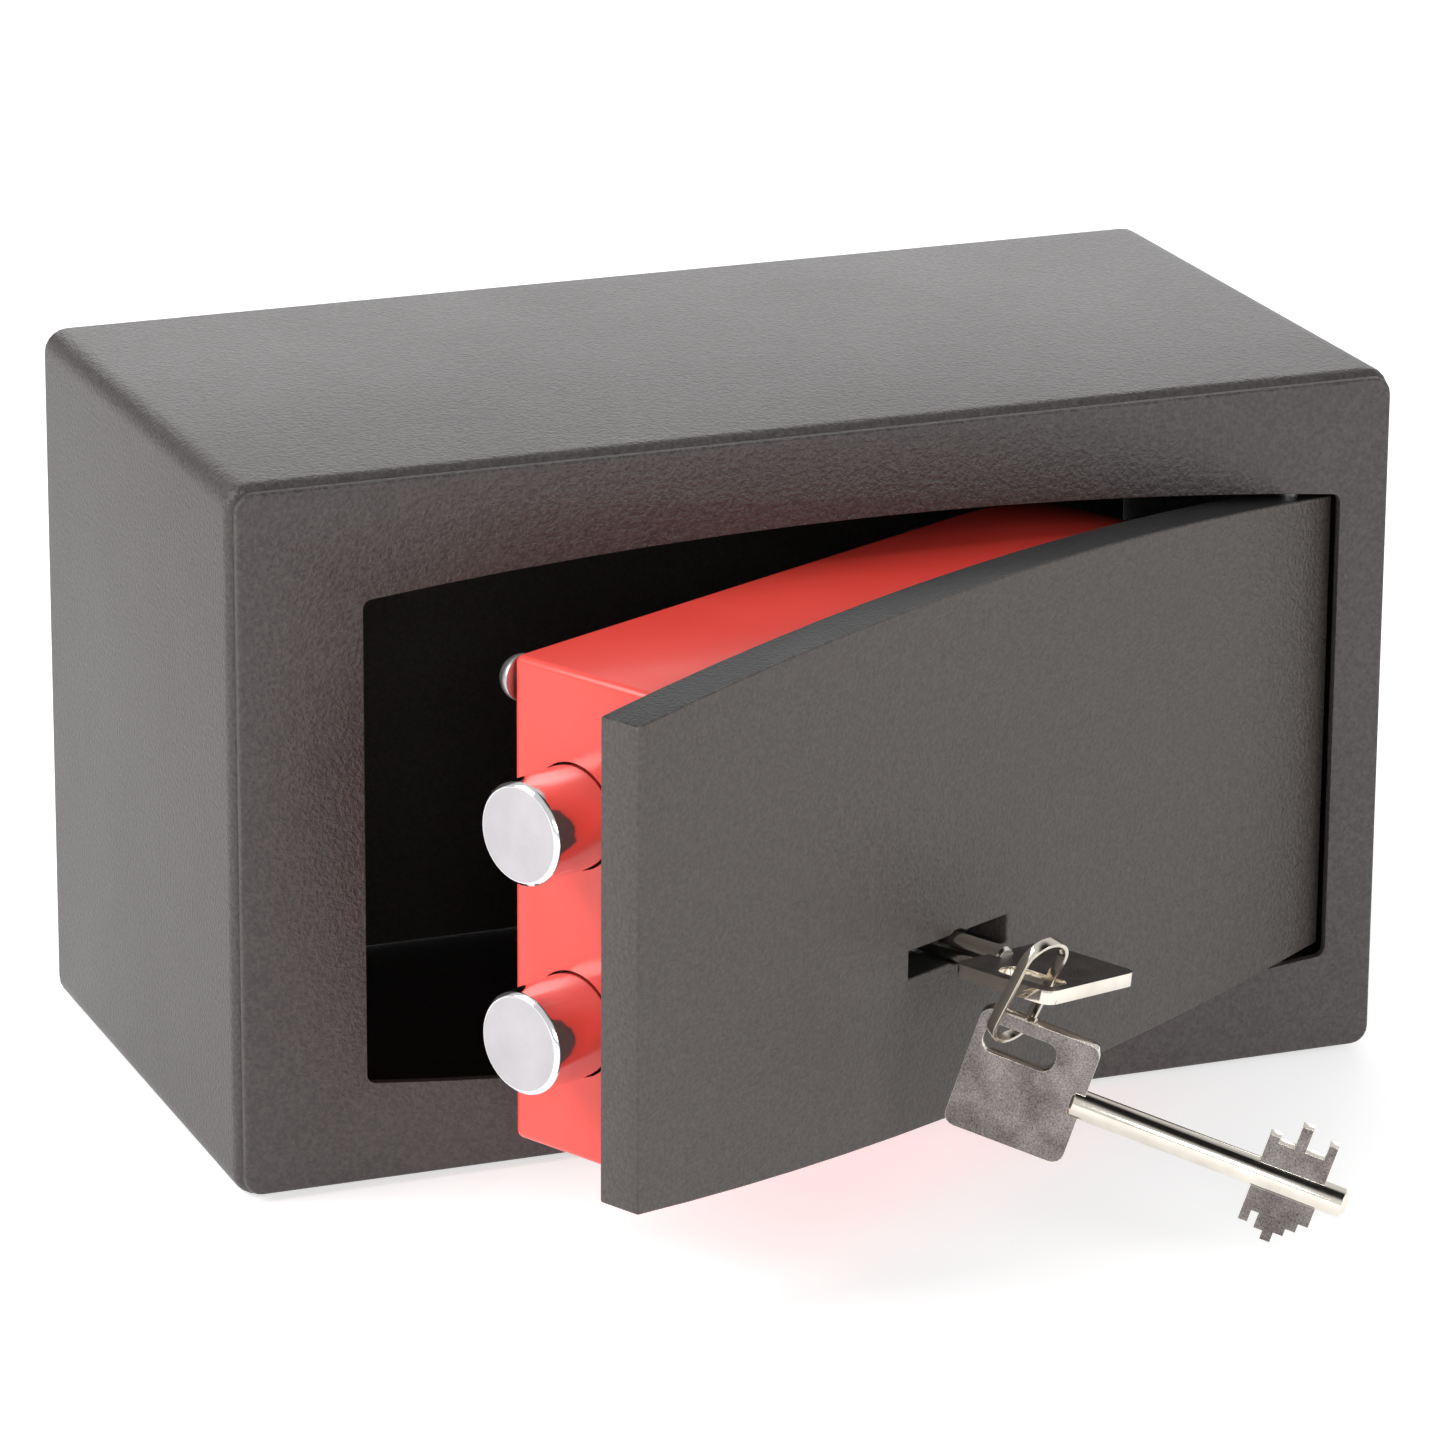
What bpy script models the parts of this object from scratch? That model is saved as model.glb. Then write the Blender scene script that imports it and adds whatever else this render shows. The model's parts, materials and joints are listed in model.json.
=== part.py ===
"""Small key-locked steel safe, standing on a table with its door ajar and two keys on a ring.

World axes: +X to the hinge side, +Y into the safe, +Z up. The origin is the centre of the base.
The door and everything on it is laid out in the door's closed position and hangs on one empty
on the hinge axis, which is then turned to the angle at which the door stands open.
"""

import math

import bmesh
import bpy
from mathutils import Matrix, Vector

MM = 0.001
GAP = 0.3 * MM
# How far a cutting tool runs past the surface that it opens
OVERSHOOT = 1 * MM

# Case
CASE_WIDTH = 254 * MM
CASE_DEPTH = 128 * MM
CASE_HEIGHT = 150 * MM
CASE_EDGE_RADIUS = 5 * MM
CASE_RIM_BEVEL = 2.8 * MM
CASE_BACK_BEVEL = 1 * MM
SHELL_THICKNESS = 3 * MM
FRAME_THICKNESS = 2 * MM
FRAME_INSET = 1.2 * MM
FRAME_EDGE_BEVEL = 0.8 * MM
FRAME_BACK_BEVEL = 0.2 * MM
BACK_THICKNESS = 2 * MM
ANCHOR_HOLE_RADIUS = 4.5 * MM
ANCHOR_SPACING = 150 * MM
FRONT_Y = -CASE_DEPTH / 2

# Doorway: upright sides, arched top and bottom
DOORWAY_X = 7.5 * MM
DOORWAY_Z = 73.5 * MM
DOORWAY_HALF_WIDTH = 107.25 * MM
DOORWAY_CORNER_HEIGHT = 51 * MM
DOORWAY_ARCH = 6 * MM
DOORWAY_CORNER_RADIUS = 2 * MM

# Door
DOOR_GAP = 1.5 * MM
DOOR_CORNER_RADIUS = 0.6 * MM
DOOR_THICKNESS = 10 * MM
DOOR_BACK_Y = FRONT_Y + DOOR_THICKNESS
DOOR_AJAR = math.radians(26)
HINGE_FROM_EDGE = 8 * MM
HINGE_FROM_FRONT = 5.5 * MM
HINGE_X = DOORWAY_X + DOORWAY_HALF_WIDTH - DOOR_GAP - HINGE_FROM_EDGE
HINGE_Y = FRONT_Y + HINGE_FROM_FRONT
PIN_RADIUS = 2.2 * MM
PIN_IN_DOOR = 9 * MM
PIN_IN_BRACKET = 9 * MM
PIN_CHAMFER = 0.4 * MM
BRACKET_SIZE = (16 * MM, 9 * MM, 11 * MM)

# Keeper bar behind the frame, on the bolt side
KEEPER_WIDTH = 10 * MM
KEEPER_FROM_DOORWAY = 2 * MM
KEEPER_HALF_HEIGHT = 46 * MM
KEEPER_CLEARANCE = 0.6 * MM

# Red lock cover on the back of the door
COVER_LEFT = -80 * MM
COVER_RIGHT = 98 * MM
COVER_TOP = 122 * MM
COVER_BOTTOM = 21.3 * MM
COVER_DEPTH = 40.5 * MM
COVER_WALL = 1.2 * MM
COVER_BEND = 1.5 * MM
COVER_RIM_BEVEL = 0.2 * MM
COVER_END_START = 52 * MM
COVER_END_RADIUS = 110 * MM
COVER_BACK_Y = DOOR_BACK_Y + COVER_DEPTH
STUD_RADIUS = 1.9 * MM
STUD_CHAMFER = 0.3 * MM
STUD_PLACES = [(x * MM, z * MM) for z in (116.6, 36.5) for x in (-77, 40)]
NUT_RADIUS = 4.75 * MM
NUT_HEIGHT = 4.5 * MM
NUT_STEPS = 6

# Bolts and the bar that carries them
BOLT_RADIUS = 10.5 * MM
BOLT_END_X = -95.4 * MM
BOLT_TAIL_X = -56 * MM
BOLT_Y = -29.6 * MM
BOLT_LEVELS = {"upper": 92.6 * MM, "lower": 49.5 * MM}
BOLT_CHAMFER = 0.8 * MM
BOLT_CLEARANCE = 0.4 * MM
# The head of the screw that holds each bolt, as (distance, radius) points
BOLT_SCREW_HEAD = [(0, 4.5 * MM), (3 * MM, 4.5 * MM), (4 * MM, 3.5 * MM)]
CARRIAGE_THICKNESS = 4.7 * MM
CARRIAGE_X = BOLT_TAIL_X + GAP
CARRIAGE_Y = (BOLT_Y - 9 * MM, BOLT_Y + 10 * MM)
CARRIAGE_OVERHANG = 12 * MM
GUIDE_X = -74.5 * MM
GUIDE_THICKNESS = 3 * MM
GUIDE_OVERHANG = 16 * MM

# Lock
KEY_X = -4.4 * MM
KEY_Z = 54.2 * MM
KEYHOLE_HALF_WIDTH = 15 * MM
KEYHOLE_HALF_HEIGHT = 2.9 * MM
KEYHOLE_CENTRE_RADIUS = 3.7 * MM
PLATE_LOW = (-32 * MM, 36 * MM)
PLATE_HIGH = (23 * MM, 73 * MM)
LOCK_LOW = (-40 * MM, 36 * MM)
LOCK_HIGH = (31 * MM, 98 * MM)
LOCK_WALL = 1.5 * MM
LOCK_FRONT_Y = DOOR_BACK_Y + 2.6 * MM
LOCK_BACK_Y = -21 * MM
CAP_THICKNESS = 1.5 * MM
LOCK_POST_RADIUS = 2 * MM
LOCK_POST_INSET = 4.5 * MM
LOCK_SCREW_HEAD = [(0, 3 * MM), (0.7 * MM, 3 * MM), (1.2 * MM, 2.2 * MM)]
DRUM_RADIUS = 5.6 * MM
DRUM_FLANGE_RADIUS = 16 * MM
DRUM_FLANGE = 2 * MM
DRUM_SLOT_HALF = 1.55 * MM
DRUM_SLOT_CLEARANCE = 0.8 * MM
DRUM_END_WALL = 2 * MM
LEVER_COUNT = 6
LEVER_THICKNESS = 1.4 * MM
LEVER_PITCH = 2 * MM
LEVER_FIRST_Y = -36.8 * MM
LEVER_POST = (24 * MM, 84 * MM)
LEVER_POST_RADIUS = 2 * MM
LEVER_LEFT = -20 * MM
LEVER_WINDOW = ((-15 * MM, 75.5 * MM), (5.5 * MM, 82.5 * MM))
TALON_RADIUS = 14.4 * MM
# The leaf spring above the levers: the points along its underside, as (x, z)
SPRING_POINTS = [(-18 * MM, 94 * MM), (10 * MM, 91 * MM), (24 * MM, 95.5 * MM)]
SPRING_THICKNESS = 0.6 * MM

# The plate on the carriage that the key throws, and the stump on it that the levers gate
TAIL_Y = (-40.5 * MM, -38.3 * MM)
TAIL_Z = (70 * MM, 84 * MM)
TAIL_END_X = 14 * MM
TAIL_KEY_CLEARANCE = 2.6 * MM
STUMP_AT = (2 * MM, 79 * MM)
STUMP_RADIUS = 1.5 * MM
STUMP_BACK_Y = -25.3 * MM

# Key: its own axes are x along the shank towards the tip, y across the bow, z through it
KEY_THICKNESS = 2.8 * MM
BOW_LENGTH = 25 * MM
BOW_WIDTH = 27.3 * MM
BOW_CORNER_RADIUS = 2.5 * MM
SLOT_LENGTH = 15 * MM
SLOT_WIDTH = 6.5 * MM
SLOT_FROM_EDGE = 2.8 * MM
SLOT_CENTRE_X = -15.5 * MM
SHANK_LENGTH = 55.5 * MM
SHANK_RADIUS = 3 * MM
SHANK_IN_BOW = 2.5 * MM
SHANK_TIP_TAPER = 1 * MM
SHANK_FOOT_TAPER = 0.6 * MM
SHANK_SIDES = 28
BIT_THICKNESS = 2.4 * MM
BIT_RADIUS = 13.3 * MM
BIT_START_X = SHANK_LENGTH - 19 * MM
KEY_STANDOFF = 10.1 * MM
KEY_TILT = math.radians(-6)
SLOT_CENTRE_Y = BOW_WIDTH / 2 - SLOT_FROM_EDGE - SLOT_WIDTH / 2
STRIP_Y = BOW_WIDTH / 2 - SLOT_FROM_EDGE / 2
# The two wings of the bit as (length, height) steps, from the bow towards the tip, in mm
BIT_STEPS = {
    1: [(2.3, 9.2), (3.2, 8), (2.3, 13.2), (3.9, 8), (1.9, 11.4)],
    -1: [(2, 10.7), (1.5, 8), (1.9, 11.4), (2.2, 13.3), (2, 11), (2, 9.3), (2, 7.3)],
}

# Ring and spare key, in the door's closed position
RING_AT = Vector((-16.6, -92.5, 55.7)) * MM
RING_UP = Vector((0.04, -0.447, 0.893)).normalized()
RING_ACROSS = Vector((-0.97, 0.12, 0.1))
RING_RISE = -0.2 * MM
RING_LENGTH = 26 * MM
RING_WIDTH = 11 * MM
RING_BAND = 0.8 * MM
RING_DEPTH = 2.2 * MM
SPARE_AT = Vector((-8.6, -100.4, 31.2)) * MM
SPARE_SHANK = Vector((0.5085, -0.805, -0.307)).normalized()
SPARE_ACROSS = Vector((0.0974, -0.3008, 0.949))
SPARE_HANGS_AT = -18.5 * MM

ROUND_SIDES = 48
SMALL_SIDES = 16
TINY_SIDES = 12
SHARP_ANGLE = math.radians(35)


# Materials


def finish(name, colour, roughness, metallic):
    made = bpy.data.materials.new(name)
    made.use_nodes = True
    shader = made.node_tree.nodes["Principled BSDF"]
    shader.inputs["Base Color"].default_value = (*colour, 1)
    shader.inputs["Roughness"].default_value = roughness
    shader.inputs["Metallic"].default_value = metallic
    made.diffuse_color = (*colour, 1)
    return made


# Outlines, as lists of (u, v) points


def with_round_corners(corners, steps=5):
    """The outline through (u, v, radius) corners, each corner rounded by its radius."""
    outline = []
    for index, (u, v, radius) in enumerate(corners):
        here = Vector((u, v))
        if radius == 0:
            outline.append(here)
            continue
        before = (Vector(corners[index - 1][:2]) - here).normalized()
        after = (Vector(corners[(index + 1) % len(corners)][:2]) - here).normalized()
        half = before.angle(after) / 2
        centre = here + (before + after).normalized() * radius / math.sin(half)
        start = here + before * radius / math.tan(half) - centre
        turn = start.angle_signed(here + after * radius / math.tan(half) - centre)
        for step in range(steps + 1):
            swing = Matrix.Rotation(-turn * step / steps, 2)
            outline.append(centre + swing @ start)
    return outline


def rectangle(low, high, radius=0.0, steps=5):
    corners = [(low[0], low[1]), (high[0], low[1]), (high[0], high[1]), (low[0], high[1])]
    return with_round_corners([(u, v, radius) for u, v in corners], steps)


def circle(centre, radius, sides=ROUND_SIDES):
    angles = [2 * math.pi * step / sides for step in range(sides)]
    return [
        Vector((centre[0] + radius * math.cos(angle), centre[1] + radius * math.sin(angle)))
        for angle in angles
    ]


def barrel(inset=0.0, corner_radius=DOORWAY_CORNER_RADIUS, steps=14):
    """The doorway's outline in X and Z, drawn in by the inset all round."""
    half_width = DOORWAY_HALF_WIDTH - inset
    corner = DOORWAY_CORNER_HEIGHT - inset
    corners = []
    for side in (-1, 1):
        for step in range(steps + 1):
            across = side * (2 * step / steps - 1)
            rise = corner + DOORWAY_ARCH * (1 - across * across)
            radius = corner_radius if step in (0, steps) else 0
            corners.append((DOORWAY_X + across * half_width, DOORWAY_Z + side * rise, radius))
    return with_round_corners(corners)


def cover_outline(inset=0.0, steps=6):
    """The lock cover in X and Z: a box whose hinge end is drawn in on a large radius."""
    radius = COVER_END_RADIUS
    top = []
    for step in range(steps + 1):
        x = COVER_END_START + (COVER_RIGHT - COVER_END_START) * step / steps
        drop = radius - math.sqrt(radius**2 - (x - COVER_END_START) ** 2)
        top.append((x - inset, COVER_TOP - inset - drop))
    bottom = [(x, COVER_TOP + COVER_BOTTOM - z) for x, z in reversed(top)]
    left = COVER_LEFT + inset
    corner = max(COVER_BEND - inset, 0.3 * MM)
    corners = [(left, COVER_TOP - inset, corner)]
    corners += [(x, z, 0) for x, z in top + bottom]
    corners.append((left, COVER_BOTTOM + inset, corner))
    return with_round_corners(corners, 3)


def keyhole(steps=4):
    """A flat slot with a round middle, in X and Z."""
    reach = math.sqrt(KEYHOLE_CENTRE_RADIUS**2 - KEYHOLE_HALF_HEIGHT**2)
    start = math.atan2(KEYHOLE_HALF_HEIGHT, reach)
    outline = []
    for side in (0, 1):
        turn = math.pi * side
        for corner in (-KEYHOLE_HALF_HEIGHT, KEYHOLE_HALF_HEIGHT):
            end = Vector((KEYHOLE_HALF_WIDTH, corner))
            outline.append(Matrix.Rotation(turn, 2) @ end)
        for step in range(steps + 1):
            angle = turn + start + (math.pi - 2 * start) * step / steps
            outline.append(KEYHOLE_CENTRE_RADIUS * Vector((math.cos(angle), math.sin(angle))))
    return [point + Vector((KEY_X, KEY_Z)) for point in outline]


# Solids


def loft(layers, axis):
    """A solid through (outline, position) layers that stand square to the named axis."""
    place_point = {
        "X": lambda u, v, w: (w, u, v),
        "Y": lambda u, v, w: (u, w, v),
        "Z": lambda u, v, w: (u, v, w),
    }[axis]
    work = bmesh.new()
    rings = [
        [work.verts.new(place_point(u, v, position)) for u, v in outline]
        for outline, position in layers
    ]
    for lower, upper in zip(rings, rings[1:]):
        for index in range(len(lower)):
            work.faces.new((lower[index - 1], lower[index], upper[index], upper[index - 1]))
    for ring in (rings[0], rings[-1]):
        work.faces.new(ring)
    bmesh.ops.recalc_face_normals(work, faces=work.faces)
    return finished(work)


def prism(outline, axis, low, high):
    """The outline, extruded along the named axis from low to high."""
    return loft([(outline, low), (outline, high)], axis)


def rounded_prism(outline_at, axis, low, high, low_radius, high_radius, steps=4):
    """The outline, extruded, with rounded edges at both ends. outline_at takes an inset."""
    layers = []
    for end, radius, inwards in ((low, low_radius, 1), (high, high_radius, -1)):
        edge = []
        for step in range(steps + 1):
            angle = math.pi / 2 * step / steps
            inset = radius * (1 - math.sin(angle))
            edge.append((outline_at(inset), end + inwards * radius * (1 - math.cos(angle))))
        layers += edge[::inwards]
    return loft(layers, axis)


def slab(low, high):
    return prism(rectangle(low[:2], high[:2]), "Z", low[2], high[2])


def turned(profile, at, direction, sides=ROUND_SIDES):
    """A solid of revolution: (distance, radius) points along the direction from a place."""
    work = bmesh.new()
    turn = Vector((0, 0, 1)).rotation_difference(Vector(direction)).to_matrix().to_4x4()
    rings = []
    for distance, radius in profile:
        if radius == 0:
            rings.append([work.verts.new((0, 0, distance))])
            continue
        points = circle((0, 0), radius, sides)
        rings.append([work.verts.new((u, v, distance)) for u, v in points])
    for lower, upper in zip(rings, rings[1:]):
        for index in range(sides):
            following = (index + 1) % sides
            corners = [lower[index % len(lower)], lower[following % len(lower)]]
            corners += [upper[following % len(upper)], upper[index % len(upper)]]
            work.faces.new(list(dict.fromkeys(corners)))
    for ring in (rings[0], rings[-1]):
        if len(ring) > 1:
            work.faces.new(ring)
    bmesh.ops.recalc_face_normals(work, faces=work.faces)
    work.transform(Matrix.Translation(Vector(at)) @ turn)
    return finished(work)


def rod(at, direction, length, radius, chamfer=0.0, sides=ROUND_SIDES):
    profile = [(0, radius - chamfer), (chamfer, radius), (length - chamfer, radius)]
    profile.append((length, radius - chamfer))
    if chamfer == 0:
        profile = [(0, radius), (length, radius)]
    return turned(profile, at, direction, sides)


def finished(work):
    mesh = bpy.data.meshes.new("solid")
    work.to_mesh(mesh)
    work.free()
    return mesh


# Objects


def place(name, mesh, material, frame):
    """A named piece of the safe. Its mesh is drawn in the closed position of its frame."""
    piece = bpy.data.objects.new(name, mesh)
    bpy.context.scene.collection.objects.link(piece)
    mesh.name = name
    mesh.materials.append(material)
    mesh.shade_smooth()
    mesh.set_sharp_from_angle(angle=SHARP_ANGLE)
    if frame is not None:
        piece.parent = frame["empty"]
        piece.matrix_parent_inverse = frame["drawn"].inverted()
    return piece


def joint_frame(name, parent, drawn, turn=0.0):
    """An empty on a joint's axis. Pieces are drawn as if the parent's frame were closed."""
    empty = bpy.data.objects.new(name, None)
    empty.empty_display_size = 0.02
    bpy.context.scene.collection.objects.link(empty)
    if parent is not None:
        empty.parent = parent["empty"]
        empty.matrix_parent_inverse = parent["drawn"].inverted()
    empty.matrix_basis = drawn @ Matrix.Rotation(turn, 4, "Z")
    return {"empty": empty, "drawn": drawn}


def shape_with(piece, mesh, operation):
    """Cuts the mesh from the piece, or joins it on, and follows the piece's frame."""
    tool = bpy.data.objects.new(piece.name + "_" + operation.lower(), mesh)
    bpy.context.scene.collection.objects.link(tool)
    tool.hide_render = True
    tool.display_type = "WIRE"
    tool.parent = piece
    modifier = piece.modifiers.new(operation.title(), "BOOLEAN")
    modifier.operation = operation
    modifier.solver = "EXACT"
    modifier.object = tool


def cut(piece, *meshes):
    for mesh in meshes:
        shape_with(piece, mesh, "DIFFERENCE")


def join(piece, *meshes):
    for mesh in meshes:
        shape_with(piece, mesh, "UNION")


# The case


def case_outline(inset):
    half = CASE_WIDTH / 2 - inset
    radius = CASE_EDGE_RADIUS - inset
    return rectangle((-half, inset), (half, CASE_HEIGHT - inset), radius)


def make_case(coat):
    wall = SHELL_THICKNESS
    rim_y = FRONT_Y + FRAME_THICKNESS + GAP
    back_y = CASE_DEPTH / 2
    outer = rounded_prism(case_outline, "Y", rim_y, back_y, CASE_RIM_BEVEL, CASE_BACK_BEVEL)
    shell = place("case_shell", outer, coat, None)
    cut(shell, prism(case_outline(wall), "Y", rim_y - wall, back_y + wall))

    panel_outline = case_outline(wall + GAP)
    panel = prism(panel_outline, "Y", back_y - BACK_THICKNESS, back_y)
    panel = place("back_panel", panel, coat, None)
    for x in (-ANCHOR_SPACING / 2, ANCHOR_SPACING / 2):
        at = (x, back_y - 2 * BACK_THICKNESS, CASE_HEIGHT / 2)
        cut(panel, rod(at, (0, 1, 0), 3 * BACK_THICKNESS, ANCHOR_HOLE_RADIUS, 0, SMALL_SIDES))

    plate = rounded_prism(
        lambda inset: case_outline(FRAME_INSET + inset),
        "Y",
        FRONT_Y,
        FRONT_Y + FRAME_THICKNESS,
        FRAME_EDGE_BEVEL,
        FRAME_BACK_BEVEL,
        2,
    )
    frame = place("front_frame", plate, coat, None)
    cut(frame, prism(barrel(), "Y", FRONT_Y - wall, FRONT_Y + FRAME_THICKNESS + wall))


def make_keeper(steel):
    """The upright bar behind the frame that the thrown bolts stand behind."""
    right = DOORWAY_X - DOORWAY_HALF_WIDTH - KEEPER_FROM_DOORWAY
    near = FRONT_Y + FRAME_THICKNESS + GAP
    far = BOLT_Y - BOLT_RADIUS - KEEPER_CLEARANCE
    low = (right - KEEPER_WIDTH, near, DOORWAY_Z - KEEPER_HALF_HEIGHT)
    high = (right, far, DOORWAY_Z + KEEPER_HALF_HEIGHT)
    place("bolt_keeper", slab(low, high), steel, None)


def door_edge_height(x, inset):
    across = (x - DOORWAY_X) / (DOORWAY_HALF_WIDTH - inset)
    return DOORWAY_CORNER_HEIGHT - inset + DOORWAY_ARCH * (1 - across * across)


def make_hinge_brackets(coat):
    width, depth, height = BRACKET_SIZE
    near = FRONT_Y + FRAME_THICKNESS + GAP
    reach = door_edge_height(HINGE_X - width / 2, 0) + GAP
    for name, side in (("upper", 1), ("lower", -1)):
        start = DOORWAY_Z + side * reach
        low_z, high_z = sorted((start, start + side * height))
        low = (HINGE_X - width / 2, near, low_z)
        block = slab(low, (HINGE_X + width / 2, near + depth, high_z))
        bracket = place("hinge_bracket_" + name, block, coat, None)
        bore_at = (HINGE_X, HINGE_Y, start - side * height)
        bore_length = height + PIN_IN_BRACKET + GAP
        cut(bracket, rod(bore_at, (0, 0, side), bore_length, PIN_RADIUS + GAP, 0, SMALL_SIDES))


# The door


def make_door(coat, steel, door):
    plate = prism(barrel(DOOR_GAP, DOOR_CORNER_RADIUS), "Y", FRONT_Y, DOOR_BACK_Y)
    plate = place("door_plate", plate, coat, door)
    cut(plate, prism(keyhole(), "Y", FRONT_Y - OVERSHOOT, DOOR_BACK_Y + OVERSHOOT))
    edge = door_edge_height(HINGE_X, DOOR_GAP)
    for name, side in (("upper", 1), ("lower", -1)):
        up = (0, 0, side)
        foot = DOORWAY_Z + side * (edge - PIN_IN_DOOR)
        foot_at = (HINGE_X, HINGE_Y, foot)
        cut(plate, rod(foot_at, up, 2 * PIN_IN_DOOR, PIN_RADIUS + GAP, 0, SMALL_SIDES))
        pin_at = (HINGE_X, HINGE_Y, foot + side * GAP)
        tip = door_edge_height(HINGE_X, 0) + PIN_IN_BRACKET
        length = tip - (edge - PIN_IN_DOOR) - GAP
        pin = rod(pin_at, up, length, PIN_RADIUS, PIN_CHAMFER, SMALL_SIDES)
        place("hinge_pin_" + name, pin, steel, door)


def make_cover(red, steel, door):
    front = DOOR_BACK_Y + GAP
    outer = rounded_prism(cover_outline, "Y", front, COVER_BACK_Y, COVER_RIM_BEVEL, COVER_BEND)
    shell = place("lock_cover", outer, red, door)
    hollow = prism(cover_outline(COVER_WALL), "Y", front - COVER_WALL, COVER_BACK_Y - COVER_WALL)
    cut(shell, hollow)
    for level in BOLT_LEVELS.values():
        at = (COVER_LEFT - OVERSHOOT, BOLT_Y, level)
        length = COVER_WALL + 2 * OVERSHOOT
        cut(shell, rod(at, (1, 0, 0), length, BOLT_RADIUS + BOLT_CLEARANCE))
    nut = [
        (NUT_HEIGHT * math.sin(angle), NUT_RADIUS * math.cos(angle))
        for angle in (math.pi / 2 * step / NUT_STEPS for step in range(NUT_STEPS))
    ]
    nut.append((NUT_HEIGHT, 0))
    for number, (x, z) in enumerate(STUD_PLACES, 1):
        foot_at = (x, front + GAP, z)
        length = COVER_BACK_Y - front - 2 * GAP
        stud = rod(foot_at, (0, 1, 0), length, STUD_RADIUS, STUD_CHAMFER, TINY_SIDES)
        place(f"cover_stud_{number}", stud, steel, door)
        hole = rod(foot_at, (0, 1, 0), COVER_DEPTH + OVERSHOOT, STUD_RADIUS + GAP, 0, TINY_SIDES)
        cut(shell, hole)
        dome = turned(nut, (x, COVER_BACK_Y + GAP, z), (0, 1, 0), 24)
        place(f"cover_dome_nut_{number}", dome, steel, door)


# The boltwork


def make_boltwork(chrome, steel, boltwork, door):
    bolt_length = BOLT_TAIL_X - BOLT_END_X
    bar_back_x = CARRIAGE_X + CARRIAGE_THICKNESS
    low = (CARRIAGE_X, CARRIAGE_Y[0], BOLT_LEVELS["lower"] - CARRIAGE_OVERHANG)
    high = (bar_back_x, CARRIAGE_Y[1], BOLT_LEVELS["upper"] + CARRIAGE_OVERHANG)
    place("bolt_carriage", slab(low, high), steel, boltwork)
    for name, level in BOLT_LEVELS.items():
        bolt = rod((BOLT_END_X, BOLT_Y, level), (1, 0, 0), bolt_length, BOLT_RADIUS, BOLT_CHAMFER)
        place("locking_bolt_" + name, bolt, chrome, boltwork)
        head = turned(BOLT_SCREW_HEAD, (bar_back_x + GAP, BOLT_Y, level), (1, 0, 0), SMALL_SIDES)
        place("carriage_screw_" + name, head, steel, boltwork)

    low = (bar_back_x + GAP, TAIL_Y[0], TAIL_Z[0])
    tail = slab(low, (TAIL_END_X, TAIL_Y[1], TAIL_Z[1]))
    tail = place("lock_bolt_tail", tail, steel, boltwork)
    talon_at = (KEY_X, TAIL_Y[0] - OVERSHOOT, KEY_Z)
    talon_length = TAIL_Y[1] - TAIL_Y[0] + 2 * OVERSHOOT
    cut(tail, rod(talon_at, (0, 1, 0), talon_length, TALON_RADIUS + TAIL_KEY_CLEARANCE))
    stump_start = (TAIL_Y[0] + TAIL_Y[1]) / 2
    stump_at = (STUMP_AT[0], stump_start, STUMP_AT[1])
    stump_length = STUMP_BACK_Y - stump_start
    join(tail, rod(stump_at, (0, 1, 0), stump_length, STUMP_RADIUS, 0, TINY_SIDES))

    far = COVER_BACK_Y - COVER_WALL - 2 * GAP
    low = (GUIDE_X, DOOR_BACK_Y + 2 * GAP, BOLT_LEVELS["lower"] - GUIDE_OVERHANG)
    high = (GUIDE_X + GUIDE_THICKNESS, far, BOLT_LEVELS["upper"] + GUIDE_OVERHANG)
    guide = place("bolt_guide", slab(low, high), steel, door)
    for level in BOLT_LEVELS.values():
        at = (GUIDE_X - OVERSHOOT, BOLT_Y, level)
        length = GUIDE_THICKNESS + 2 * OVERSHOOT
        cut(guide, rod(at, (1, 0, 0), length, BOLT_RADIUS + BOLT_CLEARANCE))


# The lock


def lock_box(inset, front, back):
    low = (LOCK_LOW[0] + inset, LOCK_LOW[1] + inset)
    high = (LOCK_HIGH[0] - inset, LOCK_HIGH[1] - inset)
    return prism(rectangle(low, high), "Y", front, back)


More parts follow.
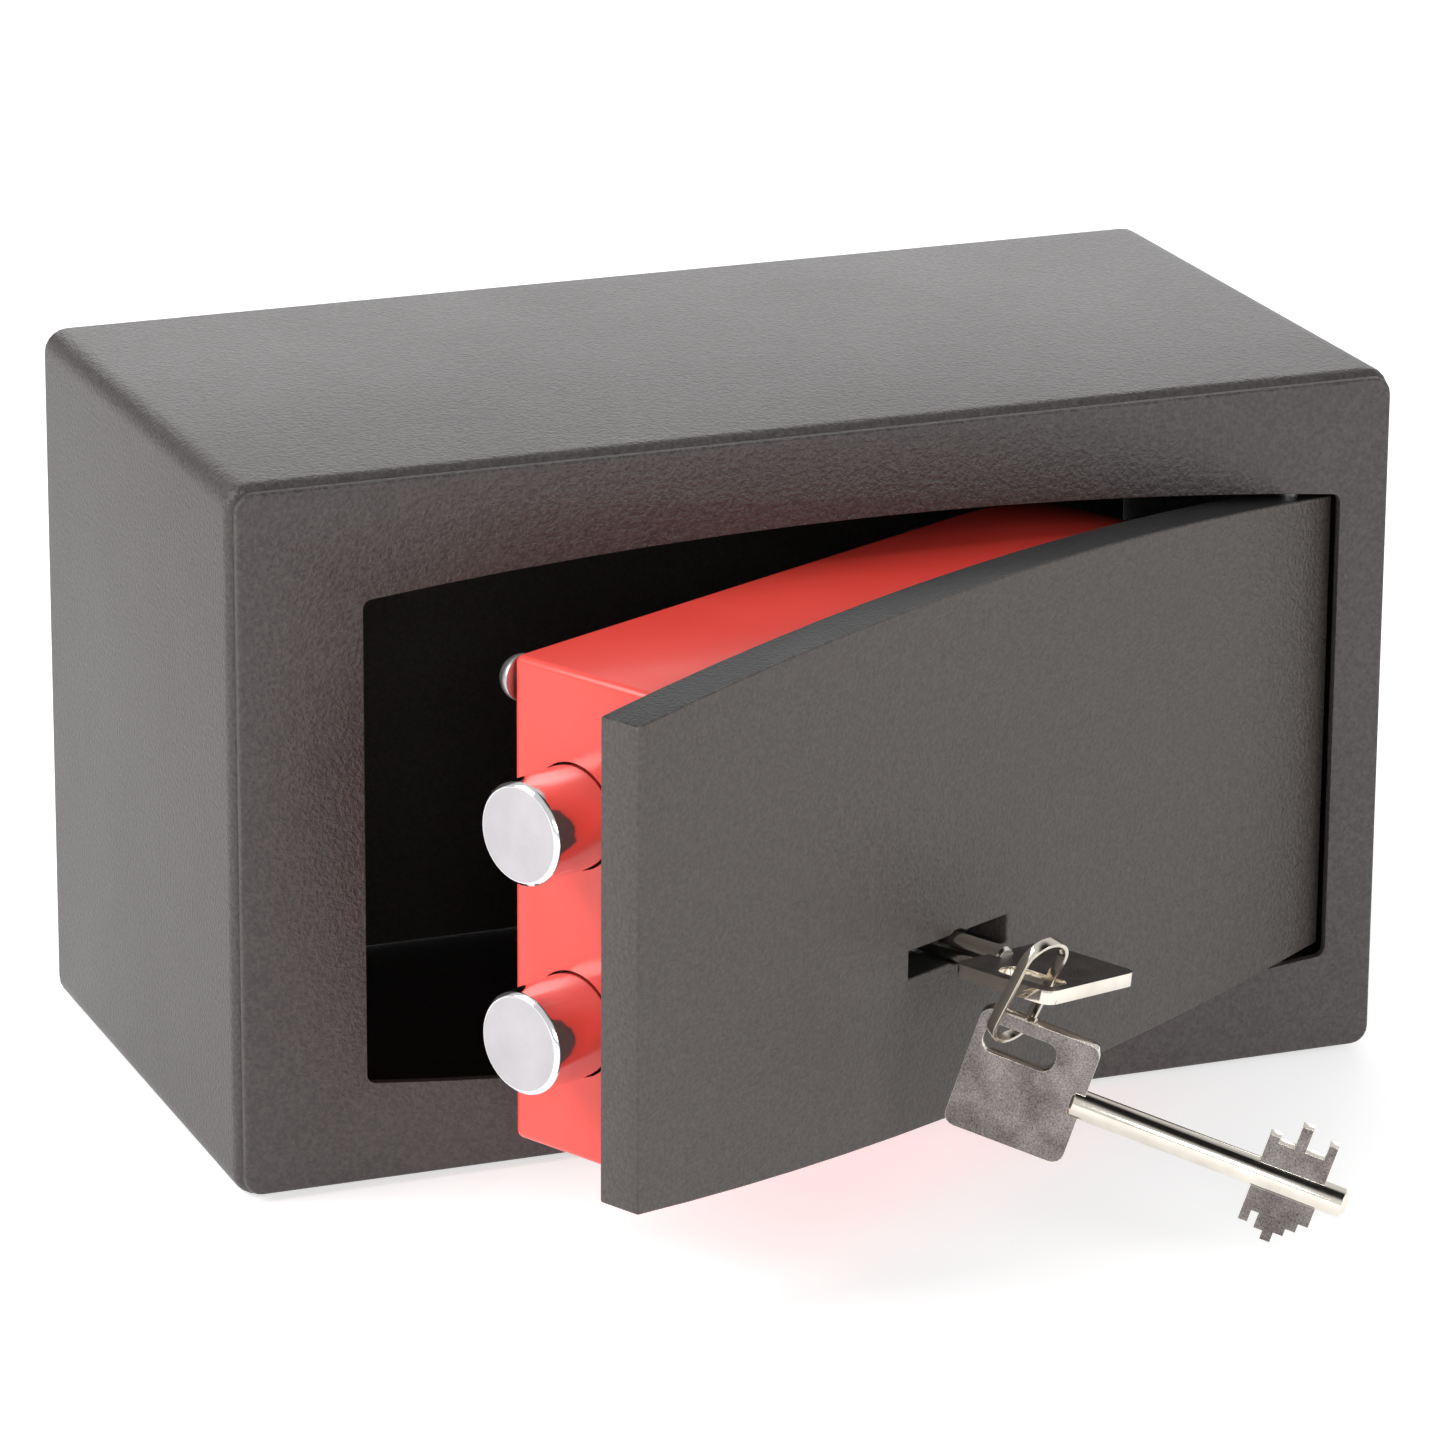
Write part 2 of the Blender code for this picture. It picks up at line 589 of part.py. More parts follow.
def make_lock(steel, brass, door):
    hard = prism(rectangle(PLATE_LOW, PLATE_HIGH), "Y", DOOR_BACK_Y + GAP, LOCK_FRONT_Y - GAP)
    hard = place("drill_plate", hard, steel, door)
    cut(hard, prism(keyhole(), "Y", DOOR_BACK_Y - OVERSHOOT, LOCK_FRONT_Y + OVERSHOOT))

    inside_y = LOCK_FRONT_Y + LOCK_WALL
    case = place("lock_case", lock_box(0, LOCK_FRONT_Y, LOCK_BACK_Y), steel, door)
    cut(case, lock_box(LOCK_WALL, inside_y, LOCK_BACK_Y + OVERSHOOT))
    cut(case, prism(keyhole(), "Y", LOCK_FRONT_Y - OVERSHOOT, inside_y + OVERSHOOT))
    window_low = (LOCK_LOW[0] - OVERSHOOT, TAIL_Y[0] - GAP, TAIL_Z[0] - GAP)
    window_right = LOCK_LOW[0] + LOCK_WALL + OVERSHOOT
    cut(case, slab(window_low, (window_right, TAIL_Y[1] + GAP, TAIL_Z[1] + GAP)))

    cap = lock_box(0, LOCK_BACK_Y + GAP, LOCK_BACK_Y + GAP + CAP_THICKNESS)
    cap = place("lock_cap", cap, steel, door)
    tip_at = (KEY_X, LOCK_BACK_Y, KEY_Z)
    tip_length = CAP_THICKNESS + GAP + OVERSHOOT
    cut(cap, rod(tip_at, (0, 1, 0), tip_length, SHANK_RADIUS + GAP, 0, SMALL_SIDES))

    corners = [
        (x, z)
        for x in (LOCK_LOW[0] + LOCK_POST_INSET, LOCK_HIGH[0] - LOCK_POST_INSET)
        for z in (LOCK_LOW[1] + LOCK_POST_INSET, LOCK_HIGH[1] - LOCK_POST_INSET)
    ]
    start = inside_y + GAP
    length = LOCK_BACK_Y - start
    for number, (x, z) in enumerate(corners, 1):
        post = rod((x, start, z), (0, 1, 0), length, LOCK_POST_RADIUS, 0, TINY_SIDES)
        place(f"lock_post_{number}", post, steel, door)
        head_at = (x, LOCK_BACK_Y + CAP_THICKNESS + 2 * GAP, z)
        head = turned(LOCK_SCREW_HEAD, head_at, (0, 1, 0), TINY_SIDES)
        place(f"lock_screw_{number}", head, steel, door)

    post_x, post_z = LEVER_POST
    post = rod((post_x, start, post_z), (0, 1, 0), length, LEVER_POST_RADIUS, 0, TINY_SIDES)
    place("lever_post", post, steel, door)
    for number in range(LEVER_COUNT):
        make_lever(number, brass, door)
    make_lever_spring(steel, door)


def lever_outline():
    """A flat lever in X and Z: an arm whose underside clears the turning bits."""
    belly = KEY_Z + TALON_RADIUS
    post_x, post_z = LEVER_POST
    return with_round_corners(
        [
            (LEVER_LEFT, belly + 5 * MM, 0),
            (KEY_X - 9 * MM, belly + 0.2 * MM, 0),
            (KEY_X + 9 * MM, belly + 0.2 * MM, 0),
            (post_x, post_z - 6 * MM, 0),
            (post_x + 4.5 * MM, post_z - 1 * MM, 0),
            (post_x + 3 * MM, post_z + 5 * MM, 0),
            (LEVER_LEFT, post_z + 6 * MM, 0),
        ]
    )


def make_lever(number, brass, door):
    start = LEVER_FIRST_Y + number * LEVER_PITCH
    lever = prism(lever_outline(), "Y", start, start + LEVER_THICKNESS)
    lever = place(f"lever_{number + 1}", lever, brass, door)
    post_x, post_z = LEVER_POST
    at = (post_x, start - OVERSHOOT, post_z)
    length = LEVER_THICKNESS + 2 * OVERSHOOT
    cut(lever, rod(at, (0, 1, 0), length, LEVER_POST_RADIUS + GAP, 0, TINY_SIDES))
    window = rectangle(*LEVER_WINDOW)
    cut(lever, prism(window, "Y", start - OVERSHOOT, start + LEVER_THICKNESS + OVERSHOOT))


def make_lever_spring(steel, door):
    """The leaf that presses the levers down."""
    last = LEVER_FIRST_Y + LEVER_COUNT * LEVER_PITCH
    above = [(x, z + SPRING_THICKNESS) for x, z in reversed(SPRING_POINTS)]
    place("lever_spring", prism(SPRING_POINTS + above, "Y", LEVER_FIRST_Y, last), steel, door)


def make_drum(steel, drum):
    """The part that turns with the key: a slotted barrel round the shank, with a front flange."""
    start = LOCK_FRONT_Y + LOCK_WALL + GAP
    end = LOCK_BACK_Y - GAP
    profile = [(0, DRUM_FLANGE_RADIUS), (DRUM_FLANGE, DRUM_FLANGE_RADIUS)]
    profile += [(DRUM_FLANGE, DRUM_RADIUS), (end - start, DRUM_RADIUS)]
    barrel_mesh = turned(profile, (KEY_X, start, KEY_Z), (0, 1, 0))
    piece = place("key_drum", barrel_mesh, steel, drum)
    at = (KEY_X, start - OVERSHOOT, KEY_Z)
    length = end - start + 2 * OVERSHOOT
    cut(piece, rod(at, (0, 1, 0), length, SHANK_RADIUS + GAP, 0, SMALL_SIDES))
    reach = BIT_RADIUS + DRUM_SLOT_CLEARANCE
    low = (-reach, start - OVERSHOOT, -DRUM_SLOT_HALF)
    slot = slab(low, (reach, end - DRUM_END_WALL, DRUM_SLOT_HALF))
    tilt = Matrix.Rotation(-KEY_TILT, 4, "Y")
    slot.transform(Matrix.Translation((KEY_X, 0, KEY_Z)) @ tilt)
    cut(piece, slot)


# Keys and ring


def bow_mesh():
    low = (-BOW_LENGTH, -BOW_WIDTH / 2)
    outline = rectangle(low, (0, BOW_WIDTH / 2), BOW_CORNER_RADIUS, 4)
    return prism(outline, "Z", -KEY_THICKNESS / 2, KEY_THICKNESS / 2)


def slot_mesh():
    half_length = SLOT_LENGTH / 2
    half_width = SLOT_WIDTH / 2
    low = (SLOT_CENTRE_X - half_length, SLOT_CENTRE_Y - half_width)
    high = (SLOT_CENTRE_X + half_length, SLOT_CENTRE_Y + half_width)
    return prism(rectangle(low, high, half_width * 0.8, 5), "Z", -KEY_THICKNESS, KEY_THICKNESS)


def bit_outline(side):
    """One wing of the bit, stepped along its edge."""
    x = BIT_START_X
    outline = [Vector((x, side * SHANK_RADIUS / 2))]
    for length, height in BIT_STEPS[side]:
        outline.append(Vector((x, side * height * MM)))
        x += length * MM
        outline.append(Vector((x, side * height * MM)))
    outline.append(Vector((x, side * SHANK_RADIUS / 2)))
    return outline


def place_key(name, steel, frame, pose):
    """Bow, shank and bit as one solid, drawn on the key's own axes and then posed."""
    length = SHANK_LENGTH + SHANK_IN_BOW
    profile = [(0, SHANK_RADIUS * 0.8), (SHANK_FOOT_TAPER, SHANK_RADIUS)]
    profile += [(length - SHANK_TIP_TAPER, SHANK_RADIUS), (length, SHANK_RADIUS * 0.6)]
    shank = turned(profile, (-SHANK_IN_BOW, 0, 0), (1, 0, 0), SHANK_SIDES)
    wings = [
        prism(bit_outline(side), "Z", -BIT_THICKNESS / 2, BIT_THICKNESS / 2)
        for side in BIT_STEPS
    ]
    meshes = [bow_mesh(), slot_mesh(), shank, *wings]
    for mesh in meshes:
        mesh.transform(pose)
    key = place(name, meshes[0], steel, frame)
    cut(key, meshes[1])
    join(key, *meshes[2:])


def axes_matrix(x_axis, y_axis, at):
    """The pose whose x and y axes run as given, squared up on x."""
    x_axis = x_axis.normalized()
    z_axis = x_axis.cross(y_axis).normalized()
    y_axis = z_axis.cross(x_axis)
    return Matrix.Translation(at) @ Matrix((x_axis, y_axis, z_axis)).transposed().to_4x4()


def make_ring(steel, frame):
    pose = axes_matrix(RING_UP, RING_ACROSS, RING_AT + RING_UP * RING_RISE)
    half_length = RING_LENGTH / 2
    half_width = RING_WIDTH / 2
    outer = rectangle((-half_length, -half_width), (half_length, half_width), half_width * 0.98, 8)
    low = (-half_length + RING_BAND, -half_width + RING_BAND)
    high = (half_length - RING_BAND, half_width - RING_BAND)
    inner = rectangle(low, high, (half_width - RING_BAND) * 0.98, 8)
    band = prism(outer, "Z", -RING_DEPTH / 2, RING_DEPTH / 2)
    hole = prism(inner, "Z", -RING_DEPTH, RING_DEPTH)
    for mesh in (band, hole):
        mesh.transform(pose)
    ring = place("key_ring", band, steel, frame)
    cut(ring, hole)


def main():
    for item in list(bpy.data.objects):
        bpy.data.objects.remove(item, do_unlink=True)

    coat = finish("textured_coat", (0.085, 0.074, 0.071), 0.5, 0.1)
    red = finish("red_lacquer", (0.78, 0.06, 0.05), 0.4, 0.0)
    chrome = finish("bright_chrome", (0.82, 0.81, 0.83), 0.15, 1.0)
    steel = finish("zinc_steel", (0.5, 0.5, 0.5), 0.35, 1.0)
    brass = finish("lever_brass", (0.7, 0.5, 0.2), 0.35, 1.0)
    nickel = finish("nickel_plate", (0.7, 0.66, 0.6), 0.2, 1.0)

    door = joint_frame(
        "door_hinge_axis", None, Matrix.Translation((HINGE_X, HINGE_Y, 0)), DOOR_AJAR
    )
    boltwork = joint_frame("boltwork_axis", door, Matrix.Translation((BOLT_END_X, BOLT_Y, 0)))
    drum = joint_frame("key_axis", door, Matrix.Translation((KEY_X, LOCK_FRONT_Y, KEY_Z)))
    key_frame = joint_frame("key_pull_axis", drum, Matrix.Translation((KEY_X, FRONT_Y, KEY_Z)))
    ring_frame = joint_frame("ring_axis", key_frame, Matrix.Translation(RING_AT))
    spare_pose = axes_matrix(SPARE_SHANK, SPARE_ACROSS, SPARE_AT)
    hangs_at = spare_pose @ Vector((SPARE_HANGS_AT, STRIP_Y, 0))
    spare_frame = joint_frame("spare_key_axis", ring_frame, Matrix.Translation(hangs_at))

    make_case(coat)
    make_keeper(steel)
    make_hinge_brackets(coat)
    make_door(coat, steel, door)
    make_cover(red, steel, door)
    make_boltwork(chrome, steel, boltwork, door)
    make_lock(steel, brass, door)
    make_drum(steel, drum)
    across = Vector((-math.cos(KEY_TILT), 0, -math.sin(KEY_TILT)))
    key_at = Vector((KEY_X, FRONT_Y - KEY_STANDOFF, KEY_Z))
    place_key("key", nickel, key_frame, axes_matrix(Vector((0, 1, 0)), across, key_at))
    make_ring(nickel, ring_frame)
    place_key("spare_key", nickel, spare_frame, spare_pose)


main()
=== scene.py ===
"""The finished look of a small key-locked steel safe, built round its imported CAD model.

Lengths are metres. CAD nodes keep their shape: each is redrawn with soft edges and its own
surface, and rides on the body that it rode on.
"""

import json
import math

import bmesh
import bpy
from mathutils import Matrix, Vector


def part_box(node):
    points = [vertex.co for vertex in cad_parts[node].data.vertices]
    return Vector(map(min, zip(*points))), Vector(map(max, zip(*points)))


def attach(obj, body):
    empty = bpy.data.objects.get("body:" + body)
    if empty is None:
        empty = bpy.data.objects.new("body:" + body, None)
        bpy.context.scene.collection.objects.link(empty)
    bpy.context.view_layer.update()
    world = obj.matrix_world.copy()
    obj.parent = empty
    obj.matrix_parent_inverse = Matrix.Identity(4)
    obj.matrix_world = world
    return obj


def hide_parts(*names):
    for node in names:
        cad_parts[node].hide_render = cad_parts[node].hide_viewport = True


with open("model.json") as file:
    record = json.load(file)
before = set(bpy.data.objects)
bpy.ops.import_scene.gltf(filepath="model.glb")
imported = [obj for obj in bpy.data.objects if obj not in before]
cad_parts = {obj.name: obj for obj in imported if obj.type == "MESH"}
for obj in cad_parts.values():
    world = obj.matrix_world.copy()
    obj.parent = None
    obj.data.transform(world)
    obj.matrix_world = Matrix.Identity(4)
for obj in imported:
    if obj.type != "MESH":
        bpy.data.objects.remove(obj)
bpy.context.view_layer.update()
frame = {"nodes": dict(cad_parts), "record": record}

MM = 0.001

# Camera
CAMERA_AT = Vector((-0.5413, -1.3687, 0.5558))
CAMERA_AZIMUTH = math.radians(-21.66)
CAMERA_ELEVATION = math.radians(18.34)
CAMERA_ROLL = math.radians(-0.4)
CAMERA_LENS = 181.7

# Widths of the soft edges, by CAD node; a node not named here gets the last one
EDGE_WIDTHS = {
    "door_plate": 0.5 * MM,
    "key": 0.45 * MM,
    "spare_key": 0.45 * MM,
    "key_ring": 0.2 * MM,
    "bolt_keeper": 0.5 * MM,
}
OTHER_EDGE = 0.2 * MM
EDGE_SEGMENTS = 3
SHARP = math.radians(32)

# How close CAD points have to be to count as one, and how flat two faces to become one
SAME_POINT = 0.002 * MM
SAME_PLANE = math.radians(0.6)
# Cosines that tell which way a face looks
SQUARE_ON = 0.995
MOSTLY = 0.9
SLANTED = 0.5

CASE_MIDDLE = sum(corner[2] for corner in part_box("case_shell")) / 2

# Studio: half the floor's width, how far it lies below the safe, and the sky's strength
FLOOR_HALF = 6
FLOOR_DROP = 0.2 * MM
SKY_STRENGTH = 0.7
# Each light: name, place, width and height, power
LIGHTS = [
    ("left_light", (-1.15, 0.1, 0.95), (0.7, 0.9), 14),
    ("front_light", (1.2, -1.7, 0.9), (1.2, 1.0), 12),
    ("camera_light", (-0.5, -1.6, 0.5), (0.5, 0.4), 5),
    ("back_light", (0.75, 2.0, 0.78), (2.0, 0.9), 11),
]
LIGHTS_AIM_AT = (0, 0, 0.07)

# Dark parts of the surroundings: a direction, and the cosines of the angles from it at which
# the dark begins and is deepest
DARKEST = 0.02
DARK_CARDS = [
    ((-0.36, 0.88, 0.33), 0.90, 0.985),
    ((0.25, -0.40, 0.88), 0.72, 0.95),
]


# Shader nodes


class Shader:
    """A Principled material that is put together one node at a time."""

    def __init__(self, name):
        self.material = bpy.data.materials.new(name)
        self.material.use_nodes = True
        self.tree = self.material.node_tree
        self.surface = self.tree.nodes["Principled BSDF"]
        self.place = self.node("ShaderNodeTexCoord").outputs["Object"]

    def node(self, kind, **settings):
        made = self.tree.nodes.new(kind)
        for key, value in settings.items():
            setattr(made, key, value)
        return made

    def link(self, source, target):
        self.tree.links.new(source, target)

    def noise(self, scale, detail=2.0, roughness=0.5, stretch=None):
        """Noise from 0 to 1, with features about 1/scale metres across."""
        made = self.node("ShaderNodeTexNoise")
        made.inputs["Scale"].default_value = scale
        made.inputs["Detail"].default_value = detail
        made.inputs["Roughness"].default_value = roughness
        place = self.place
        if stretch:
            mapping = self.node("ShaderNodeMapping")
            mapping.inputs["Scale"].default_value = stretch
            self.link(place, mapping.inputs["Vector"])
            place = mapping.outputs["Vector"]
        self.link(place, made.inputs["Vector"])
        return made.outputs["Fac"]

    def spread(self, value, low, high, out_low=0.0, out_high=1.0):
        made = self.node("ShaderNodeMapRange")
        for key, number in zip(
            ("From Min", "From Max", "To Min", "To Max"), (low, high, out_low, out_high)
        ):
            made.inputs[key].default_value = number
        self.link(value, made.inputs["Value"])
        return made.outputs["Result"]

    def mix(self, factor, first, second):
        made = self.node("ShaderNodeMix", data_type="RGBA")
        self.link(factor, made.inputs["Factor"])
        for socket, colour in ((made.inputs[6], first), (made.inputs[7], second)):
            if isinstance(colour, tuple):
                socket.default_value = (*colour, 1)
            else:
                self.link(colour, socket)
        return made.outputs[2]

    def bump(self, height, depth, strength=1.0, below=None):
        made = self.node("ShaderNodeBump")
        made.inputs["Distance"].default_value = depth
        made.inputs["Strength"].default_value = strength
        self.link(height, made.inputs["Height"])
        if below is not None:
            self.link(below, made.inputs["Normal"])
        return made.outputs["Normal"]

    def set(self, **values):
        for key, value in values.items():
            socket = self.surface.inputs[key.replace("_", " ")]
            if isinstance(value, (int, float)):
                socket.default_value = value
            elif isinstance(value, tuple):
                socket.default_value = (*value, 1)
            else:
                self.link(value, socket)
        return self.material


def textured_coat(name, dark, light, roughness=0.42, grain_depth=0.22 * MM):
    """Powder coat with a fine pebbled skin and faint smudges."""
    shader = Shader(name)
    pebbles = shader.noise(1150, 2.5, 0.6)
    grit = shader.noise(3300, 1.0)
    smudge = shader.noise(22, 3.0, 0.6)
    colour = shader.mix(shader.spread(pebbles, 0.35, 0.68), dark, light)
    skin = shader.bump(shader.spread(pebbles, 0.3, 0.7), grain_depth, 0.75)
    return shader.set(
        Base_Color=colour,
        Roughness=shader.spread(smudge, 0.3, 0.7, roughness - 0.015, roughness + 0.02),
        Normal=shader.bump(grit, grain_depth / 4, 0.5, skin),
        Specular_IOR_Level=0.5,
    )


def enamel(name):
    """Red enamel over folded sheet: a slight orange peel and a faint change of tone."""
    shader = Shader(name)
    peel = shader.noise(520, 1.5)
    cloud = shader.noise(16, 2.0)
    colour = shader.mix(shader.spread(cloud, 0.3, 0.7), (0.80, 0.052, 0.036), (0.86, 0.068, 0.05))
    return shader.set(
        Base_Color=colour,
        Roughness=shader.spread(shader.noise(90), 0.3, 0.7, 0.34, 0.42),
        Normal=shader.bump(peel, 0.05 * MM, 0.5),
        Coat_Weight=0.25,
        Coat_Roughness=0.2,
    )


def metal(name, dark, light, roughness, brushing=(1, 1, 1), grain=900, depth=0.01 * MM):
    """Plated or bare metal with brushing along one axis, blotches of tone and tiny waves."""
    shader = Shader(name)
    blotch = shader.noise(60, 3.0, 0.65)
    streak = shader.noise(grain, 2.0, 0.6, brushing)
    return shader.set(
        Metallic=1,
        Base_Color=shader.mix(shader.spread(blotch, 0.35, 0.65), dark, light),
        Roughness=shader.spread(streak, 0.25, 0.75, roughness * 0.75, roughness * 1.3),
        Normal=shader.bump(streak, depth, 0.6),
    )


def cast_nickel(name):
    """The flat faces of the keys: dark, sandy and uneven."""
    shader = Shader(name)
    sand = shader.noise(2900, 3.0, 0.7)
    cloud = shader.noise(140, 2.0)
    deep = shader.mix(shader.spread(cloud, 0.35, 0.65), (0.06, 0.05, 0.048), (0.13, 0.115, 0.11))
    high = shader.mix(shader.spread(cloud, 0.35, 0.65), (0.27, 0.24, 0.23), (0.42, 0.38, 0.36))
    return shader.set(
        Metallic=1,
        Base_Color=shader.mix(shader.spread(sand, 0.3, 0.72), deep, high),
        Roughness=shader.spread(sand, 0.3, 0.7, 0.24, 0.42),
        Normal=shader.bump(sand, 0.1 * MM, 0.7),
    )


def plain_studio(name):
    shader = Shader(name)
    tone = shader.noise(3, 1.0)
    colour = shader.mix(tone, (0.66, 0.66, 0.66), (0.68, 0.68, 0.68))
    return shader.set(
        Base_Color=colour,
        Roughness=0.6,
        Specular_IOR_Level=0.2,
        Emission_Color=(1.0, 1.0, 1.0),
        Emission_Strength=0.62,
    )


# Pieces


def body_of_node(node):
    bodies = frame["record"]["behaviour"]["bodies"]
    return next(name for name, nodes in bodies.items() if node in nodes)


def slot_of_node(node):
    subparts = frame["record"]["subparts"]
    return next(part["material_slot"] for part in subparts if part["node"] == node)


def clean_copy(node):
    """The node's mesh, with shared points and whole flat faces instead of triangles."""
    work = bmesh.new()
    work.from_mesh(frame["nodes"][node].data)
    bmesh.ops.remove_doubles(work, verts=work.verts, dist=SAME_POINT)
    bmesh.ops.dissolve_limit(work, angle_limit=SAME_PLANE, verts=work.verts, edges=work.edges)
    mesh = bpy.data.meshes.new(node + "_finished")
    work.to_mesh(mesh)
    work.free()
    return mesh


def finish_node(node, material):
    """Stands a soft-edged copy in for the CAD node, on the same body."""
    mesh = clean_copy(node)
    mesh.materials.clear()
    mesh.materials.append(material)
    mesh.shade_smooth()
    piece = bpy.data.objects.new(node + "_finished", mesh)
    bpy.context.scene.collection.objects.link(piece)
    bevel = piece.modifiers.new("Soft edges", "BEVEL")
    bevel.width = EDGE_WIDTHS.get(node, OTHER_EDGE)
    bevel.segments = EDGE_SEGMENTS
    bevel.limit_method = "ANGLE"
    bevel.angle_limit = SHARP
    bevel.harden_normals = True
    bevel.use_clamp_overlap = True
    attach(piece, body_of_node(node))
    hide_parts(node)
    return piece


def repaint(piece, material, chosen):
    """Gives a second material to the faces for which chosen(face) is true."""
    piece.data.materials.append(material)
    piece.modifiers["Soft edges"].material = 0
    for face in piece.data.polygons:
        if chosen(face):
            face.material_index = 1


def looks_along(direction):
    return lambda face: abs(face.normal.dot(direction)) > SQUARE_ON


def looks_inwards(face):
    """True for a face of the case's shell that looks at its inside."""
    outwards = Vector((face.center.x, 0, face.center.z - CASE_MIDDLE))
    return face.normal.dot(outwards) < 0 and abs(face.normal.y) < SLANTED


def widest_face_normal(piece):
    return max(piece.data.polygons, key=lambda face: face.area).normal.copy()


# Studio


def softbox(name, at, size, power):
    data = bpy.data.lights.new(name, "AREA")
    data.shape = "RECTANGLE"
    data.size, data.size_y = size
    data.energy = power
    light = bpy.data.objects.new(name, data)
    bpy.context.scene.collection.objects.link(light)
    light.location = at
    aim = Vector(LIGHTS_AIM_AT) - Vector(at)
    light.rotation_euler = aim.to_track_quat("-Z", "Y").to_euler()


def make_floor():
    work = bmesh.new()
    bmesh.ops.create_grid(work, x_segments=8, y_segments=8, size=FLOOR_HALF)
    mesh = bpy.data.meshes.new("studio_floor")
    work.to_mesh(mesh)
    work.free()
    mesh.materials.append(plain_studio("studio_white"))
    floor = bpy.data.objects.new("studio_floor", mesh)
    floor.location.z = -FLOOR_DROP
    bpy.context.scene.collection.objects.link(floor)


def math_node(tree, operation, first, second):
    made = tree.nodes.new("ShaderNodeMath")
    made.operation = operation
    tree.links.new(first, made.inputs[0])
    tree.links.new(second, made.inputs[1])
    return made.outputs["Value"]


def dark_card(tree, direction, towards, edge, core):
    """1 away from the card's direction, falling to DARKEST at its core."""
    dot = tree.nodes.new("ShaderNodeVectorMath")
    dot.operation = "DOT_PRODUCT"
    dot.inputs[1].default_value = Vector(towards).normalized()
    tree.links.new(direction, dot.inputs[0])
    card = tree.nodes.new("ShaderNodeMapRange")
    card.interpolation_type = "SMOOTHSTEP"
    settings = {"From Min": edge, "From Max": core, "To Min": 1, "To Max": DARKEST}
    for key, number in settings.items():
        card.inputs[key].default_value = number
    tree.links.new(dot.outputs["Value"], card.inputs["Value"])
    return card.outputs["Result"]


def make_surroundings():
    """A white sky with dark cards in it, for the metal to mirror."""
    world = bpy.data.worlds.new("studio_air")
    world.use_nodes = True
    tree = world.node_tree
    direction = tree.nodes.new("ShaderNodeTexCoord").outputs["Generated"]
    cards = [dark_card(tree, direction, *card) for card in DARK_CARDS]
    brightness = cards[0]
    for card in cards[1:]:
        brightness = math_node(tree, "MULTIPLY", brightness, card)
    air = tree.nodes["Background"]
    tree.links.new(brightness, air.inputs["Color"])
    air.inputs["Strength"].default_value = SKY_STRENGTH
    bpy.context.scene.world = world


def make_studio():
    make_floor()
    make_surroundings()
    for light in LIGHTS:
        softbox(*light)
    bpy.context.scene.view_settings.view_transform = "Standard"


def make_camera():
    data = bpy.data.cameras.new("photo_view")
    data.sensor_width = 36
    data.lens = CAMERA_LENS
    data.clip_start = 0.05
    camera = bpy.data.objects.new("photo_view", data)
    azimuth, elevation = CAMERA_AZIMUTH, CAMERA_ELEVATION
    back = Vector(
        (
            math.sin(azimuth) * math.cos(elevation),
            -math.cos(azimuth) * math.cos(elevation),
            math.sin(elevation),
        )
    )
    right = Vector((math.cos(azimuth), math.sin(azimuth), 0))
    up = back.cross(right)
    roll = Matrix.Rotation(CAMERA_ROLL, 3, "Z")
    turn = Matrix((right, up, back)).transposed() @ roll.transposed()
    camera.matrix_world = Matrix.Translation(CAMERA_AT) @ turn.to_4x4()
    bpy.context.scene.collection.objects.link(camera)
    bpy.context.scene.camera = camera


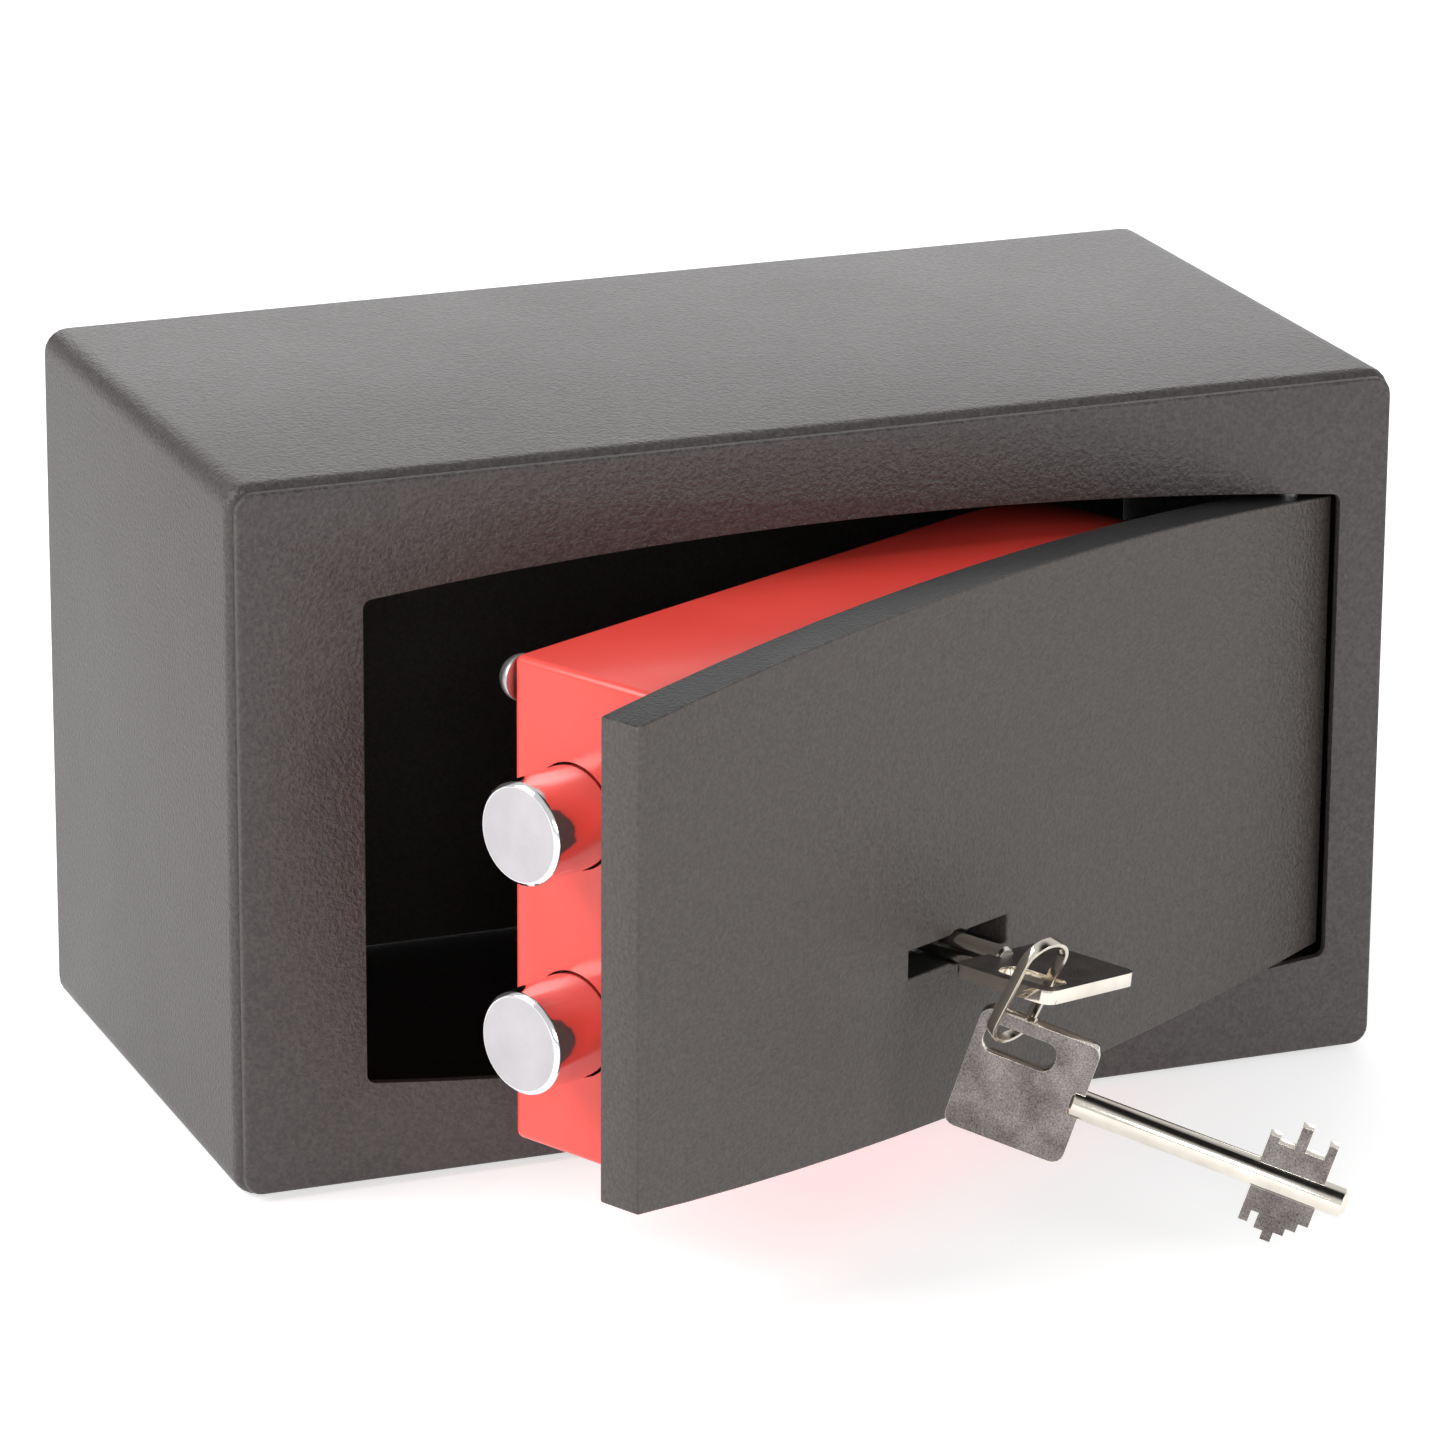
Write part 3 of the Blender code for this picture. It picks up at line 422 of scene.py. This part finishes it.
def make_materials():
    """Every surface, by the name that main() picks it by."""
    return {
        "case_coat": textured_coat(
            "textured_coat_case", (0.036, 0.030, 0.029), (0.066, 0.057, 0.054)
        ),
        "door_coat": textured_coat(
            "textured_coat_door", (0.046, 0.038, 0.035), (0.074, 0.064, 0.058)
        ),
        # Near-black copy of the door's coat: painted shade for the door plate's upward faces.
        "door_top_painted_shade": textured_coat(
            "textured_coat_door_top_painted_shade", (0.010, 0.011, 0.011), (0.019, 0.020, 0.020)
        ),
        # Near-black copy of the coat: painted shade for the inside of the case, the hinge brackets
        # and the frame's back faces, where little light reaches.
        "inside_painted_shade": textured_coat("case_inside_painted_shade", (0.010, 0.010, 0.008), (0.018, 0.018, 0.015), 0.75),
        "red": enamel("red_enamel"),
        "chrome": metal("chrome_sides", (0.80, 0.80, 0.82), (0.88, 0.87, 0.88), 0.09, grain=1500),
        "satin": metal(
            "chrome_ends", (0.50, 0.48, 0.50), (0.56, 0.54, 0.56), 0.34, grain=2600, depth=0.02 * MM
        ),
        "zinc": metal("zinc_plate", (0.42, 0.43, 0.44), (0.58, 0.58, 0.57), 0.34, (1, 1, 0.08)),
        "brass": metal("lever_brass", (0.62, 0.42, 0.16), (0.74, 0.54, 0.24), 0.3, (0.08, 1, 1)),
        "nickel": metal("nickel_bright", (0.72, 0.66, 0.58), (0.90, 0.85, 0.76), 0.12, grain=700),
        "cast": cast_nickel("nickel_cast_face"),
    }


def dress(node, looks, bolt_way):
    """Redraws one CAD node in its own surface, with a second one on some faces: another finish on
    the bolt ends and key faces, and painted shade on the door plate's top and on inward faces.
    """
    by_slot = {
        "textured_coat": "case_coat",
        "red_lacquer": "red",
        "bright_chrome": "chrome",
        "zinc_steel": "zinc",
        "lever_brass": "brass",
        "nickel_plate": "nickel",
    }
    look = by_slot[slot_of_node(node)]
    if node == "door_plate":
        look = "door_coat"
    # The hinge brackets inside the case get the near-black coat: painted shade.
    if node.startswith("hinge_bracket"):
        look = "inside_painted_shade"
    piece = finish_node(node, looks[look])
    if node.startswith("locking_bolt"):
        repaint(piece, looks["satin"], looks_along(bolt_way))
    if node in ("key", "spare_key"):
        repaint(piece, looks["cast"], looks_along(widest_face_normal(piece)))
    # The door plate's upward faces get the near-black coat: painted shade.
    if node == "door_plate":
        repaint(piece, looks["door_top_painted_shade"], lambda face: face.normal.z > SLANTED)
    # Inward faces of the shell, the back panel and the frame get the near-black coat: painted
    # shade.
    if node == "case_shell":
        repaint(piece, looks["inside_painted_shade"], looks_inwards)
    if node == "back_panel":
        repaint(piece, looks["inside_painted_shade"], lambda face: face.normal.y < -MOSTLY)
    if node == "front_frame":
        repaint(piece, looks["inside_painted_shade"], lambda face: face.normal.y > MOSTLY)


def main():
    looks = make_materials()
    joints = {joint["name"]: joint for joint in frame["record"]["behaviour"]["joints"]}
    bolt_way = Vector(joints["bolt_slide"]["axis"])
    for node in sorted(frame["nodes"]):
        dress(node, looks, bolt_way)
    make_studio()
    make_camera()


main()
